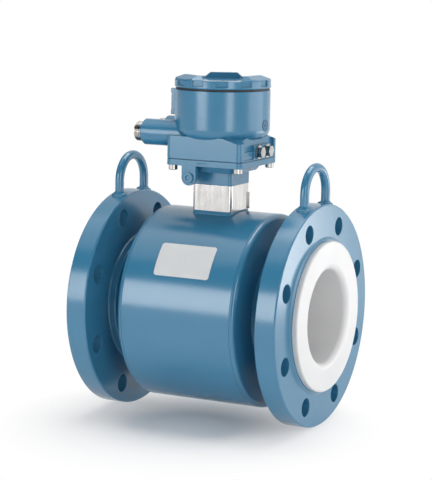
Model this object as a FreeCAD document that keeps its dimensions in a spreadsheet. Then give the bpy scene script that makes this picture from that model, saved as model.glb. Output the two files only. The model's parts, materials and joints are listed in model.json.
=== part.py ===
"""Flanged electromagnetic flow meter with a junction box, as a parametric document.

Frame: origin on the pipe axis at mid-length, +X along the flow, +Z up to the junction box.
Every driving size is a cell of the sheet "sizes"; lengths are millimetres.
"""
import FreeCAD, Part
import math
import os
import Sketcher
from FreeCAD import Placement, Rotation, Vector

SIZES = (
    # fits between pieces, and how far a cut or a joined form runs past a face
    ("fit_gap", 0.05),
    ("seat_gap", 0.1),
    ("overrun", 1.0),
    # flow tube, liner and flanges
    ("half_length", 125.0),
    ("tube_radius", 57.15),
    ("tube_wall", 6.0),
    ("liner_thickness", 2.9),
    ("flare_inset", 1.4),
    ("flare_thickness", 5.6),
    ("flare_rounding", 1.5),
    ("bore_entry_rounding", 6.0),
    ("flange_radius", 114.3),
    ("flange_thickness", 22.3),
    ("flange_edge", 1.2),
    ("bolt_edge_distance", 19.05),
    ("bolt_hole_radius", 9.525),
    ("bolt_count", 8),
    ("raised_face_inset", 16.65),
    ("raised_face_height", 1.6),
    ("raised_face_foot", 2.6),
    ("flange_hub_wall", 10.3),
    ("flange_hub_length", 9.5),
    ("flange_hub_rounding", 2.0),
    ("weld_leg", 6.0),
    # lifting eyes
    ("eye_bar_radius", 4.65),
    ("eye_bend_radius", 26.0),
    ("eye_rise", 41.7),
    ("eye_sink", 7.0),
    ("eye_weld", 3.4),
    ("eye_weld_height", 4.0),
    ("eye_weld_skirt", 1.4),
    # coil housing
    ("barrel_half_length", 66.5),
    ("barrel_wall", 3.0),
    ("end_plate_thickness", 5.2),
    ("end_plate_rounding", 4.7),
    ("end_plate_weld", 4.5),
    ("seam_depth", 0.3),
    ("wire_hole_radius", 15.0),
    # magnet circuit
    ("shoe_gap", 0.3),
    ("shoe_thickness", 4.5),
    ("shoe_half_width", 38.0),
    ("shoe_half_length", 40.0),
    ("core_half_width", 16.0),
    ("core_half_length", 24.0),
    ("coil_width", 18.0),
    ("coil_height", 17.75),
    ("coil_clearance", 4.0),
    ("coil_corner", 8.0),
    ("yoke_thickness", 3.0),
    ("yoke_half_length", 30.0),
    ("yoke_window_radius", 12.0),
    ("wiring_space", 10.4),
    # electrodes
    ("electrode_head_radius", 6.0),
    ("electrode_head_thickness", 1.9),
    ("electrode_crown", 1.4),
    ("electrode_stem_radius", 2.5),
    ("electrode_stand", 12.85),
    ("bush_radius", 5.0),
    ("bush_flange_radius", 8.0),
    ("bush_flange_thickness", 2.0),
    ("spring_height", 1.8),
    ("spring_cone", 0.7),
    ("spring_inset", 1.0),
    ("nut_radius", 5.5),
    ("nut_height", 4.0),
    ("lead_radius", 1.5),
    ("lead_clearance", 5.4),
    ("lead_bend", 6.0),
    ("lead_spacing", 5.0),
    # pedestal, measured up from the barrel
    ("neck_height", 54.6),
    ("neck_half_width", 21.4),
    ("neck_wall", 5.4),
    ("neck_corner", 3.0),
    ("neck_plate_thickness", 0.8),
    ("neck_plate_lift", 1.2),
    ("neck_tab_reach", 1.8),
    ("neck_tab_height", 17.0),
    ("collar_height", 20.5),
    ("pan_height", 7.0),
    ("pan_ledge", 10.0),
    ("pan_slope", 4.5),
    ("pan_corner", 6.0),
    ("box_half_width", 43.0),
    ("box_corner", 5.5),
    ("pedestal_plate", 6.0),
    ("plate_hole_radius", 12.0),
    ("saddle_flare", 2.2),
    ("saddle_height", 5.0),
    ("saddle_sink", 10.0),
    ("lug_centre", 16.0),
    ("lug_radius", 8.0),
    ("lug_thickness", 6.5),
    ("lug_drop", 12.0),
    ("lug_screw_radius", 5.4),
    ("lug_shank_radius", 2.7),
    ("lug_head_height", 1.9),
    ("lug_socket_radius", 2.9),
    ("lug_socket_depth", 1.2),
    ("lug_web", 5.0),
    ("arrow_length", 12.0),
    ("arrow_half_width", 1.7),
    ("arrow_shaft", 0.8),
    ("arrow_head", 4.0),
    ("arrow_depth", 0.4),
    # junction box, measured up from its gasket
    ("gasket_thickness", 0.8),
    ("gasket_inset", 0.5),
    ("block_height", 23.2),
    ("corner_drop", 6.0),
    ("corner_run", 21.3),
    ("bowl_radius", 49.2),
    ("bowl_rounding", 10.5),
    ("bowl_sink", 3.0),
    ("bowl_wall", 5.0),
    ("bowl_height", 47.0),
    ("cavity_radius", 35.0),
    ("cavity_rise", 9.0),
    ("cavity_slope", 8.0),
    ("cavity_relief", 0.7),
    ("thread_depth", 14.0),
    ("hub_radius", 13.5),
    ("hub_reach", 35.5),
    ("hub_root", 26.0),
    ("hub_chamfer", 3.0),
    ("hub_spacing", 48.0),
    ("hub_rise", 23.9),
    ("entry_end", 17.5),
    ("plug_radius", 10.3),
    ("plug_reach", 7.5),
    ("plug_length", 19.0),
    ("plug_chamfer", 0.8),
    ("plug_socket_radius", 5.5),
    ("plug_socket_depth", 8.0),
    ("tape_length", 6.0),
    ("tape_depth", 1.4),
    ("box_bolt_count", 4),
    ("box_bolt_edge", 6.0),
    ("box_bolt_radius", 3.0),
    ("box_bolt_head_radius", 4.7),
    ("box_bolt_head_height", 5.2),
    ("box_bolt_chamfer", 0.5),
    ("box_bolt_length", 17.0),
    ("box_bolt_socket", 2.6),
    # outlet face of the box, with its ground screws
    ("recess_half_width", 34.5),
    ("recess_depth", 3.0),
    ("recess_ledge_depth", 1.5),
    ("recess_ledge_top", 9.2),
    ("recess_foot", 1.2),
    ("ground_pad_half_width", 19.0),
    ("ground_pad_half_height", 7.2),
    ("ground_rise", 7.6),
    ("ground_centre", 7.2),
    ("ground_spacing", 19.0),
    ("ground_screw_radius", 2.5),
    ("ground_screw_length", 6.0),
    ("ground_head_radius", 5.9),
    ("ground_head_height", 4.2),
    ("ground_washer_radius", 7.0),
    ("ground_washer_thickness", 1.6),
    # cover
    ("seal_height", 2.2),
    ("seal_width", 3.0),
    ("seal_inset", 1.0),
    ("cover_overhang", 0.5),
    ("cover_rim_height", 8.5),
    ("cover_edge", 0.8),
    ("cover_ring", 2.4),
    ("cover_roof", 6.0),
    ("cover_band", 12.7),
    ("cover_dish", 2.0),
    ("skirt_wall", 4.0),
    ("notch_count", 12),
    ("notch_half_width", 6.3),
    ("notch_depth", 1.7),
    ("cover_lug_count", 3),
    ("cover_lug_height", 4.3),
    ("cover_lug_half_width", 19.0),
    ("cover_lug_slope", 5.0),
    ("cover_lug_crest", 4.5),
    ("cover_lug_inset", 4.0),
    ("cover_turn", 25.5),
    # terminal block
    ("block_stand", 3.0),
    ("terminal_clearance", 11.0),
    ("terminal_half_width", 9.0),
    ("terminal_height", 12.0),
    ("terminal_offset", 14.0),
    ("terminal_count", 5),
    ("terminal_pitch", 9.4),
    ("terminal_screw_radius", 3.0),
    ("terminal_screw_height", 2.0),
    ("terminal_screw_depth", 4.8),
    # plates
    ("side_plate_thickness", 1.2),
    ("side_plate_half_width", 16.0),
    ("side_plate_height", 24.0),
    ("side_plate_drop", 2.0),
    ("side_plate_corner", 3.2),
    ("side_pad_stand", 1.8),
    ("side_pad_margin", 1.5),
    ("side_pad_depth", 15.0),
    ("label_angle", 54.5),
    ("label_centre", 1.9),
    ("label_half_length", 31.0),
    ("label_half_height", 18.3),
    ("label_corner", 3.0),
    ("label_sink", 4.0),
    ("label_thickness", 0.6),
)


class Size:
    """A number that carries the sheet formula it comes from."""

    def __init__(self, number, formula):
        self.number = number
        self.formula = formula

    def _join(self, sign, other, number):
        return Size(number, "(%s %s %s)" % (self.formula, sign, text_of(other)))

    def __add__(self, other):
        return self._join("+", other, self.number + number_of(other))

    def __sub__(self, other):
        return self._join("-", other, self.number - number_of(other))

    def __mul__(self, other):
        return self._join("*", other, self.number * number_of(other))

    def __truediv__(self, other):
        return self._join("/", other, self.number / number_of(other))

    def __radd__(self, other):
        return as_size(other) + self

    def __rsub__(self, other):
        return as_size(other) - self

    def __rmul__(self, other):
        return as_size(other) * self

    def __neg__(self):
        return as_size(0.0) - self


def number_of(value):
    return value.number if isinstance(value, Size) else float(value)


def text_of(value):
    return value.formula if isinstance(value, Size) else "%.6f" % value


def as_size(value):
    return value if isinstance(value, Size) else Size(float(value), text_of(float(value)))


def root(value):
    """Square root of a size."""
    return Size(math.sqrt(value.number), "sqrt(%s)" % value.formula)


def reach(radius, offset):
    """Height of a circle of this radius above its axis, at this sideways offset."""
    return root(radius * radius - offset * offset)


doc = FreeCAD.newDocument("flow_meter")
sheet = doc.addObject("Spreadsheet::Sheet", "sizes")
for row, (alias, value) in enumerate(SIZES, start=1):
    sheet.set("A%d" % row, alias)
    sheet.set("B%d" % row, str(value))
    sheet.setAlias("B%d" % row, alias)
doc.recompute()


def size(alias):
    return Size(float(sheet.get(alias)), "sizes." + alias)


def bind(owner, prop, value):
    """Drive one property by its sheet formula."""
    if isinstance(value, Size):
        owner.setExpression(prop, value.formula)


def new_body(name, turn=None):
    """A body for one piece; turn places a second copy of a paired piece."""
    body = doc.addObject("PartDesign::Body", name)
    body.Label = name
    if turn is not None:
        body.Placement = Placement(Vector(), turn)
    return body


def attach(sketch, body, plane, origin, spin):
    """Lay a sketch on one of the body's planes, moved to origin and spun about its own axes."""
    face = [f for f in body.Origin.OriginFeatures if f.Role == plane][0]
    sketch.AttachmentSupport = (face, "")
    sketch.MapMode = "FlatFace"
    base = Vector(*[number_of(v) for v in origin])
    sketch.AttachmentOffset = Placement(base, spin)
    for letter, value in zip("xyz", origin):
        bind(sketch, "AttachmentOffset.Base." + letter, value)


def blank_sketch(body, plane, origin=(0, 0, 0), spin=Rotation()):
    count = len([o for o in body.Group if o.isDerivedFrom("Sketcher::SketchObject")])
    name = "%s_outline_%d" % (body.Name, count + 1)
    sketch = body.newObject("Sketcher::SketchObject", name)
    attach(sketch, body, plane, origin, spin)
    return sketch


def pin(sketch, geometry, end, point):
    """Hold one end of a curve at its across and up distances from the sketch origin."""
    for kind, value in zip(("DistanceX", "DistanceY"), point):
        index = sketch.addConstraint(
            Sketcher.Constraint(kind, -1, 1, geometry, end, number_of(value)))
        bind(sketch, "Constraints[%d]" % index, value)


def hold_radius(sketch, geometry, radius):
    """Hold a circle or arc at its radius."""
    index = sketch.addConstraint(Sketcher.Constraint("Radius", geometry, number_of(radius)))
    bind(sketch, "Constraints[%d]" % index, radius)


def arc_between(start, end, radius, left):
    """Anticlockwise arc on these two ends, with its centre left or right of the chord."""
    half = (end - start) * 0.5
    rise = math.sqrt(max(radius * radius - half.Length ** 2, 0.0))
    inward = Vector(-half.y, half.x, 0).normalize() * (1 if left else -1)
    middle = start + half + inward * (rise - radius)
    return Part.Arc(start, middle, end) if left else Part.Arc(end, middle, start)


def draw(sketch, corners, closed=True):
    """Draw an outline whose every corner is held by sheet formulas.

    A corner is (across, up), (across, up, rounding radius) or (across, up, radius, side),
    where the last starts an arc to the next corner with its centre on that side, +1 left.
    """
    plain = [c if len(c) != 4 else c[:2] for c in corners]
    free = {i: c for i, c in enumerate(corners) if len(c) == 4}
    vertices, arcs, sides = [], [], []
    for i in range(len(corners)):
        points, radii = rounded_at(plain, i)
        for point, radius in zip(points, radii):
            vertices.append(point)
            arcs.append(radius)
            sides.append(None)
        if i in free:
            arcs[-1] = free[i][2]
            sides[-1] = free[i][3]
    spots = [Vector(number_of(u), number_of(v), 0) for u, v in vertices]
    total = len(vertices)
    last = total if closed else total - 1
    ends = []
    for i in range(last):
        start, end = spots[i], spots[(i + 1) % total]
        if arcs[i] is None:
            sketch.addGeometry(Part.LineSegment(start, end), False)
            ends.append((1, 2))
            continue
        left = turn_left(spots, i, total) if sides[i] is None else sides[i] == 1
        sketch.addGeometry(arc_between(start, end, number_of(arcs[i]), left), False)
        ends.append((1, 2) if left else (2, 1))
    for i in range(last):
        pin(sketch, i, ends[i][0], vertices[i])
        if arcs[i] is not None:
            hold_radius(sketch, i, arcs[i])
        follower = (i + 1) % total
        if follower < last:
            sketch.addConstraint(
                Sketcher.Constraint("Coincident", i, ends[i][1], follower, ends[follower][0]))
        else:
            pin(sketch, i, ends[i][1], vertices[follower])
    return sketch


def rounded_at(corners, i):
    """The vertices that one corner gives, with the radius of the arc that starts at each."""
    corner = corners[i]
    if len(corner) == 2:
        return [corner], [None]
    across, up, radius = corner
    found = []
    for near in (corners[i - 1], corners[(i + 1) % len(corners)]):
        du = number_of(near[0]) - number_of(across)
        dv = number_of(near[1]) - number_of(up)
        if abs(du) > abs(dv):
            found.append((across + radius * math.copysign(1, du), up))
        else:
            found.append((across, up + radius * math.copysign(1, dv)))
    return found, [radius, None]


def turn_left(spots, i, total):
    """Whether the outline turns left at the rounding arc that starts at vertex i."""
    arriving = spots[i] - spots[i - 1]
    leaving = spots[(i + 1) % total] - spots[i]
    return arriving.x * leaving.y - arriving.y * leaving.x > 0


def circle(sketch, centre, radius):
    """A circle held by its centre and radius."""
    spot = Vector(number_of(centre[0]), number_of(centre[1]), 0)
    index = sketch.addGeometry(Part.Circle(spot, Vector(0, 0, 1), number_of(radius)), False)
    pin(sketch, index, 3, centre)
    hold_radius(sketch, index, radius)
    return sketch


def square(half, corner):
    """Corners of a centred square with rounded corners."""
    return [(-half, -half, corner), (half, -half, corner),
            (half, half, corner), (-half, half, corner)]


def box(low_u, low_v, high_u, high_v):
    """Corners of an upright rectangle."""
    return [(low_u, low_v), (high_u, low_v), (high_u, high_v), (low_u, high_v)]


def hexagon(radius):
    """Corners of a hexagon with this corner radius."""
    angles = [math.radians(60 * i) for i in range(6)]
    return [(radius * math.cos(a), radius * math.sin(a)) for a in angles]


def feature(body, kind, sketch):
    """Add a sketch-based feature that takes this sketch as its profile."""
    made = body.newObject("PartDesign::" + kind, "%s_%s" % (sketch.Name, kind.lower()))
    made.Profile = sketch
    sketch.Visibility = False
    return made


def turned(body, corners, axis="V_Axis", cut=False, **place):
    """Turn an outline right round the sketch's upright or level axis."""
    plane = place.pop("plane", "XZ_Plane")
    sketch = draw(blank_sketch(body, plane, **place), corners)
    made = feature(body, "Groove" if cut else "Revolution", sketch)
    made.ReferenceAxis = (sketch, [axis])
    made.Angle = 360
    return made


def padded(body, sketch, length, both=False, back=False):
    made = feature(body, "Pad", sketch)
    made.Length = number_of(length)
    bind(made, "Length", length)
    made.SideType = "Symmetric" if both else "One side"
    made.Reversed = back
    return made


def pocketed(body, sketch, length=None, both=False, back=False):
    """Cut a sketch out, right through when no length is given."""
    made = feature(body, "Pocket", sketch)
    if length is None:
        made.Type = "ThroughAll"
    else:
        made.Length = number_of(length)
        bind(made, "Length", length)
    made.SideType = "Symmetric" if both else "One side"
    made.Reversed = back
    return made


def ring_pattern(body, originals, axis, count):
    """Repeat features round one of the body's axes."""
    line = [f for f in body.Origin.OriginFeatures if f.Role == axis][0]
    made = body.newObject("PartDesign::PolarPattern", originals[0].Name + "_ring")
    made.Originals = originals
    made.Axis = (line, [""])
    made.Angle = 360
    made.Occurrences = int(number_of(count))
    bind(made, "Occurrences", count)
    body.Tip = made
    return made


def row_pattern(body, originals, axis, length, count):
    """Repeat features in a row along one of the body's axes."""
    line = [f for f in body.Origin.OriginFeatures if f.Role == axis][0]
    made = body.newObject("PartDesign::LinearPattern", originals[0].Name + "_row")
    made.Originals = originals
    made.Direction = (line, [""])
    made.Length = number_of(length)
    bind(made, "Length", length)
    made.Occurrences = int(number_of(count))
    bind(made, "Occurrences", count)
    body.Tip = made
    return made


# Placements shared by paired pieces
END_FOR_END = Rotation(Vector(0, 0, 1), 180)
UPSIDE_DOWN = Rotation(Vector(1, 0, 0), 180)
TO_FRONT = Rotation(Vector(1, 0, 0), 90)
TO_REAR = Rotation(Vector(1, 0, 0), -90)
DIAGONAL = math.sqrt(0.5)

# Radii and faces shared by several pieces
fit_gap = size("fit_gap")
seat_gap = size("seat_gap")
overrun = size("overrun")
half_length = size("half_length")
tube_radius = size("tube_radius")
tube_inner = tube_radius - size("tube_wall")
bore_radius = tube_inner - fit_gap - size("liner_thickness")
flare_face = half_length - size("flare_thickness")
flange_face = flare_face - size("raised_face_height")
flange_back = flange_face - size("flange_thickness")
flange_radius = size("flange_radius")
flange_bore = tube_radius + fit_gap
bolt_circle = flange_radius - size("bolt_edge_distance")
raised_face = bolt_circle - size("raised_face_inset")
plate_inner = size("barrel_half_length") - size("end_plate_thickness")
coil_inner = tube_radius + size("shoe_thickness") + size("shoe_gap") * 2
coil_outer = coil_inner + size("coil_height")
yoke_inner = coil_outer + size("coil_clearance")
yoke_outer = yoke_inner + size("yoke_thickness")
shell_inner = yoke_outer + size("wiring_space")
barrel_radius = shell_inner + size("barrel_wall")


def build_flow_tube():
    """Plain tube through both flanges, with two holes for the electrode bushes."""
    body = new_body("flow_tube")
    turned(body, box(-flare_face, tube_inner, flare_face, tube_radius), "H_Axis")
    holes = circle(blank_sketch(body, "XZ_Plane"), (0, 0), size("bush_radius") + fit_gap)
    pocketed(body, holes, both=True)


def build_liner():
    """Smooth insulating liner, flared over both raised faces."""
    body = new_body("liner")
    outer = tube_inner - fit_gap
    flare = raised_face - size("flare_inset")
    lip = size("flare_rounding")
    entry = size("bore_entry_rounding")
    seat = flare_face + fit_gap
    turned(body, [
        (-half_length, bore_radius, entry), (half_length, bore_radius, entry),
        (half_length, flare, lip), (seat, flare), (seat, outer),
        (-seat, outer), (-seat, flare), (-half_length, flare, lip)], "H_Axis")
    stems = circle(blank_sketch(body, "XZ_Plane"), (0, 0),
                   size("electrode_stem_radius") + fit_gap)
    pocketed(body, stems, both=True)
    heads = circle(blank_sketch(body, "XZ_Plane"), (0, 0),
                   size("electrode_head_radius") + seat_gap)
    depth = bore_radius + size("electrode_head_thickness") + seat_gap
    pocketed(body, heads, depth * 2, both=True)


def build_flange(name, turn):
    """Slip-on flange: raised face, hub, weld to the tube and its ring of bolt holes."""
    body = new_body(name, turn)
    edge = size("flange_edge")
    hub = flange_bore + size("flange_hub_wall")
    hub_end = flange_back - size("flange_hub_length")
    weld = size("weld_leg")
    foot = raised_face + size("raised_face_foot")
    hub_rounding = size("flange_hub_rounding")
    turned(body, [
        (hub_end - weld, flange_bore), (flare_face, flange_bore),
        (flare_face, raised_face), (flange_face, foot),
        (flange_face, flange_radius - edge), (flange_face - edge, flange_radius),
        (flange_back + edge, flange_radius), (flange_back, flange_radius - edge),
        (flange_back, hub + hub_rounding, hub_rounding, -1), (flange_back - hub_rounding, hub),
        (hub_end, hub, hub_rounding), (hub_end, flange_bore + weld)], "H_Axis")
    step = 180.0 / number_of(size("bolt_count"))
    hole = circle(blank_sketch(body, "YZ_Plane", (0, 0, 0), Rotation(Vector(0, 0, 1), step)),
                  (0, bolt_circle), size("bolt_hole_radius"))
    drilled = pocketed(body, hole, both=True)
    ring_pattern(body, [drilled], "X_Axis", size("bolt_count"))


def build_lifting_eye(name, turn):
    """Round bar bent into a U and welded to the flange rim, open side down."""
    body = new_body(name, turn)
    bar = size("eye_bar_radius")
    bend = size("eye_bend_radius")
    middle = (flange_face + flange_back) * 0.5
    crown = flange_radius + size("eye_rise") - bar - bend
    foot = flange_radius - size("eye_sink")
    legs = blank_sketch(body, "XY_Plane", (0, 0, foot))
    for side in (-1, 1):
        circle(legs, (middle, side * bend), bar)
    padded(body, legs, crown - foot)
    section = circle(blank_sketch(body, "XY_Plane", (0, 0, crown)), (middle, -bend), bar)
    arch = feature(body, "Revolution", section)
    arch.ReferenceAxis = (section, ["H_Axis"])
    arch.Angle = 180
    arch.Reversed = True
    weld = bar + size("eye_weld")
    base = reach(flange_radius, bend)
    low = base - size("eye_weld_skirt")
    high = base + size("eye_weld_height")
    for side in (-1, 1):
        outline = [(0, foot), (weld, foot), (weld, low), (bar, high), (0, high)]
        turned(body, outline, origin=(middle, 0, -side * bend))
    rim = circle(blank_sketch(body, "YZ_Plane"), (0, 0), flange_radius + fit_gap)
    pocketed(body, rim, both=True)


def build_coil_housing():
    """Rolled barrel with one hole under the pedestal, and its two welded end plates."""
    body = new_body("coil_housing")
    seam = size("seam_depth")
    wall_end = plate_inner - fit_gap
    turned(body, [
        (-wall_end, shell_inner), (wall_end, shell_inner), (wall_end, barrel_radius - seam),
        (wall_end - seam, barrel_radius), (seam - wall_end, barrel_radius),
        (-wall_end, barrel_radius - seam)], "H_Axis")
    hole = circle(blank_sketch(body, "XY_Plane"), (0, 0), size("wire_hole_radius"))
    pocketed(body, hole, barrel_radius + overrun, back=True)


def build_end_plate(name, turn):
    """Thick ring that closes one end of the barrel, welded round the flow tube."""
    body = new_body(name, turn)
    seam = size("seam_depth")
    face = size("barrel_half_length")
    weld = size("end_plate_weld")
    inner = tube_radius + fit_gap
    turned(body, [
        (plate_inner, inner), (face + weld, inner), (face, inner + weld),
        (face, barrel_radius, size("end_plate_rounding")), (plate_inner + seam, barrel_radius),
        (plate_inner, barrel_radius - seam)], "H_Axis")


def build_pole_piece(name, turn):
    """Curved shoe on the tube with the core that carries the coil."""
    body = new_body(name, turn)
    inner = tube_radius + size("shoe_gap")
    shoe_top = inner + size("shoe_thickness")
    outer = yoke_inner - size("shoe_gap")
    half_long = size("shoe_half_length")
    half_wide = size("shoe_half_width")
    shoe = draw(blank_sketch(body, "XY_Plane"),
                box(-half_long, -half_wide, half_long, half_wide))
    padded(body, shoe, shoe_top)
    over = blank_sketch(body, "YZ_Plane")
    circle(over, (0, 0), shoe_top)
    circle(over, (0, 0), shoe_top + tube_radius)
    pocketed(body, over, both=True)
    core = draw(blank_sketch(body, "XY_Plane", (0, 0, inner)),
                box(-size("core_half_length"), -size("core_half_width"),
                    size("core_half_length"), size("core_half_width")))
    padded(body, core, yoke_inner - inner)
    trim = blank_sketch(body, "YZ_Plane")
    circle(trim, (0, 0), outer)
    circle(trim, (0, 0), outer + tube_radius)
    pocketed(body, trim, both=True)
    under = circle(blank_sketch(body, "YZ_Plane"), (0, 0), inner)
    pocketed(body, under, both=True)


def build_coil(name, turn):
    """Saddle coil: a wound ring round the core, curved to lie on the shoe."""
    body = new_body(name, turn)
    gap = size("shoe_gap")
    corner = size("coil_corner")
    inner_long = size("core_half_length") + gap
    inner_wide = size("core_half_width") + gap
    outer_long = inner_long + size("coil_width")
    outer_wide = inner_wide + size("coil_width")
    plan = blank_sketch(body, "XY_Plane")
    draw(plan, [(-outer_long, -outer_wide, corner), (outer_long, -outer_wide, corner),
                (outer_long, outer_wide, corner), (-outer_long, outer_wide, corner)])
    padded(body, plan, coil_outer)
    window = draw(blank_sketch(body, "XY_Plane"),
                  box(-inner_long, -inner_wide, inner_long, inner_wide))
    pocketed(body, window, both=True)
    over = blank_sketch(body, "YZ_Plane")
    circle(over, (0, 0), coil_outer)
    circle(over, (0, 0), coil_outer + tube_radius)
    pocketed(body, over, both=True)
    under = circle(blank_sketch(body, "YZ_Plane"), (0, 0), coil_inner)
    pocketed(body, under, both=True)


def build_yoke():
    """Return band round both cores, with a window for each electrode lead."""
    body = new_body("return_yoke")
    half = size("yoke_half_length")
    turned(body, box(-half, yoke_inner, half, yoke_outer), "H_Axis")
    windows = circle(blank_sketch(body, "XZ_Plane"), (0, 0), size("yoke_window_radius"))
    pocketed(body, windows, both=True)


def build_electrode(side, turn):
    """One electrode with its insulating bush, disc spring and nut, along +Z before it is turned."""
    stem = size("electrode_stem_radius")
    head = size("electrode_head_radius")
    back = bore_radius + size("electrode_head_thickness")
    end = tube_radius + size("electrode_stand")
    face = bore_radius - size("electrode_crown")
    bush = size("bush_radius")
    rim = size("bush_flange_radius")
    seat = tube_radius + seat_gap
    flange_top = seat + size("bush_flange_thickness")
    spring_top = flange_top + size("spring_height")
    nut_top = spring_top + seat_gap + size("nut_height")

    body = new_body(side + "_electrode", turn)
    turned(body, [(0, face), (head, face), (head, back), (stem, back), (stem, end), (0, end)])
    bore = circle(blank_sketch(body, "YZ_Plane"), (0, 0), bore_radius + fit_gap)
    pocketed(body, bore, both=True)

    body = new_body(side + "_electrode_bush", turn)
    hole = stem + fit_gap
    turned(body, [(hole, tube_inner + fit_gap), (bush, tube_inner + fit_gap), (bush, seat),
                  (rim, seat), (rim, flange_top), (hole, flange_top)])

    body = new_body(side + "_electrode_spring", turn)
    cone = size("spring_cone")
    edge = rim - size("spring_inset")
    low = flange_top + seat_gap
    turned(body, [(hole, low + cone), (edge, low), (edge, spring_top - cone),
                  (hole, spring_top)])

    body = new_body(side + "_electrode_nut", turn)
    plan = draw(blank_sketch(body, "XY_Plane", (0, 0, spring_top + seat_gap)),
                hexagon(size("nut_radius")))
    circle(plan, (0, 0), hole)
    padded(body, plan, nut_top - spring_top - seat_gap)


# Heights from the barrel up to the cover
neck_half = size("neck_half_width")
collar_half = neck_half + size("neck_plate_thickness") + fit_gap
collar_corner = size("neck_corner") + size("neck_plate_thickness")
neck_foot = barrel_radius + size("neck_plate_lift")
pedestal_top = barrel_radius + size("neck_height")
plate_bottom = pedestal_top - size("pedestal_plate")
collar_bottom = plate_bottom - size("collar_height")
box_half = size("box_half_width")
bolt_spot = box_half - size("box_bolt_edge")
lug_height = plate_bottom - size("lug_drop")
gasket_top = pedestal_top + size("gasket_thickness")
block_top = gasket_top + size("block_height")
bowl_top = block_top + size("bowl_height")
bowl_radius = size("bowl_radius")
thread_radius = bowl_radius - size("bowl_wall")
thread_low = bowl_top - size("thread_depth")
hub_height = gasket_top + size("hub_rise")
hub_end = box_half + size("hub_reach")
ground_height = gasket_top + size("ground_rise")
cavity_radius = size("cavity_radius")
side_pad_face = bowl_radius + size("side_pad_stand")


def bolt_holes(body, radius, start, length=None, upward=False):
    """Four holes at the box corners, cut right through or to a depth from this height."""
    spot = circle(blank_sketch(body, "XY_Plane", (0, 0, start)), (bolt_spot, bolt_spot), radius)
    drilled = pocketed(body, spot, length, back=upward)
    ring_pattern(body, [drilled], "Z_Axis", size("box_bolt_count"))


def lofted(body, name, low, high):
    """Straight-sided form between two outlines."""
    made = body.newObject("PartDesign::AdditiveLoft", name)
    made.Profile = low
    made.Sections = [high]
    made.Ruled = True


def build_pedestal():
    """Cast neck from the barrel up to the square plate that carries the junction box."""
    body = new_body("pedestal")
    corner = size("neck_corner")
    start = barrel_radius - size("saddle_sink")
    pan_half = box_half - size("pan_ledge")
    neck = draw(blank_sketch(body, "XY_Plane", (0, 0, start)), square(neck_half, corner))
    padded(body, neck, collar_bottom - start)
    collar = draw(blank_sketch(body, "XY_Plane", (0, 0, collar_bottom)),
                  square(collar_half, collar_corner))
    padded(body, collar, plate_bottom - collar_bottom)
    low = draw(blank_sketch(body, "XY_Plane", (0, 0, plate_bottom - size("pan_height"))),
               square(pan_half - size("pan_slope"), size("pan_corner")))
    high = draw(blank_sketch(body, "XY_Plane", (0, 0, plate_bottom)),
                square(pan_half, size("pan_corner")))
    lofted(body, "pedestal_pan", low, high)
    plate = draw(blank_sketch(body, "XY_Plane", (0, 0, plate_bottom)),
                 square(box_half, size("box_corner")))
    padded(body, plate, size("pedestal_plate"))
    # lug that hangs from the front edge, stiffened by a web back to the collar
    radius = size("lug_radius")
    centre = -size("lug_centre")
    back = box_half - size("lug_thickness")
    lug = draw(blank_sketch(body, "XZ_Plane", (0, 0, back)),
               [(centre - radius, plate_bottom), (centre - radius, lug_height, radius, 1),
                (centre, lug_height - radius, radius, 1), (centre + radius, lug_height),
                (centre + radius, plate_bottom)])
    padded(body, lug, size("lug_thickness"))
    web = size("lug_web") * 0.5
    rib = draw(blank_sketch(body, "XZ_Plane", (0, 0, collar_half - overrun)),
               box(centre - web, lug_height - web, centre + web, plate_bottom))
    padded(body, rib, back - collar_half + overrun * 2)
    # saddle that spreads the foot of the neck over the barrel
    flare = size("saddle_flare")
    wide = draw(blank_sketch(body, "XY_Plane", (0, 0, neck_foot - fit_gap - size("saddle_height"))),
                square(neck_half + flare, corner + flare))
    narrow = draw(blank_sketch(body, "XY_Plane", (0, 0, neck_foot - fit_gap)),
                  square(neck_half, corner))
    lofted(body, "pedestal_saddle", wide, narrow)
    seat = circle(blank_sketch(body, "YZ_Plane"), (0, 0), barrel_radius + fit_gap)
    pocketed(body, seat, both=True)
    # wire passage, bolt holes and the hole for the lug screw
    passage = draw(blank_sketch(body, "XY_Plane"), square(neck_half - size("neck_wall"), corner))
    pocketed(body, passage, plate_bottom, back=True)
    hole = circle(blank_sketch(body, "XY_Plane"), (0, 0), size("plate_hole_radius"))
    pocketed(body, hole, back=True)
    bolt_holes(body, size("box_bolt_radius") + fit_gap, pedestal_top)
    screw = circle(blank_sketch(body, "XZ_Plane", (0, 0, box_half)), (centre, lug_height),
                   size("lug_shank_radius"))
    pocketed(body, screw, size("lug_thickness") + overrun)
    # flow arrow cut in the front edge of the plate
    half = size("arrow_length") * 0.5
    neck_of_arrow = half - size("arrow_head")
    level = plate_bottom + size("pedestal_plate") * 0.5
    shaft = size("arrow_shaft")
    wing = size("arrow_half_width")
    arrow = draw(blank_sketch(body, "XZ_Plane", (0, 0, box_half)),
                 [(-half, level - shaft), (neck_of_arrow, level - shaft),
                  (neck_of_arrow, level - wing), (half, level), (neck_of_arrow, level + wing),
                  (neck_of_arrow, level + shaft), (-half, level + shaft)])
    pocketed(body, arrow, size("arrow_depth"))


def build_lug_screw():
    """Painted socket screw in the hanging lug."""
    body = new_body("lug_screw")
    spot = (-size("lug_centre"), lug_height)
    face = box_half + fit_gap
    back = box_half - size("lug_thickness")
    shank = circle(blank_sketch(body, "XZ_Plane", (0, 0, back)), spot,
                   size("lug_shank_radius") - fit_gap)
    padded(body, shank, face - back)
    head = circle(blank_sketch(body, "XZ_Plane", (0, 0, face)), spot, size("lug_screw_radius"))
    padded(body, head, size("lug_head_height"))
    top = face + size("lug_head_height")
    socket = draw(blank_sketch(body, "XZ_Plane", (spot[0], spot[1], top)),
                  hexagon(size("lug_socket_radius")))
    pocketed(body, socket, size("lug_socket_depth"))


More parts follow.
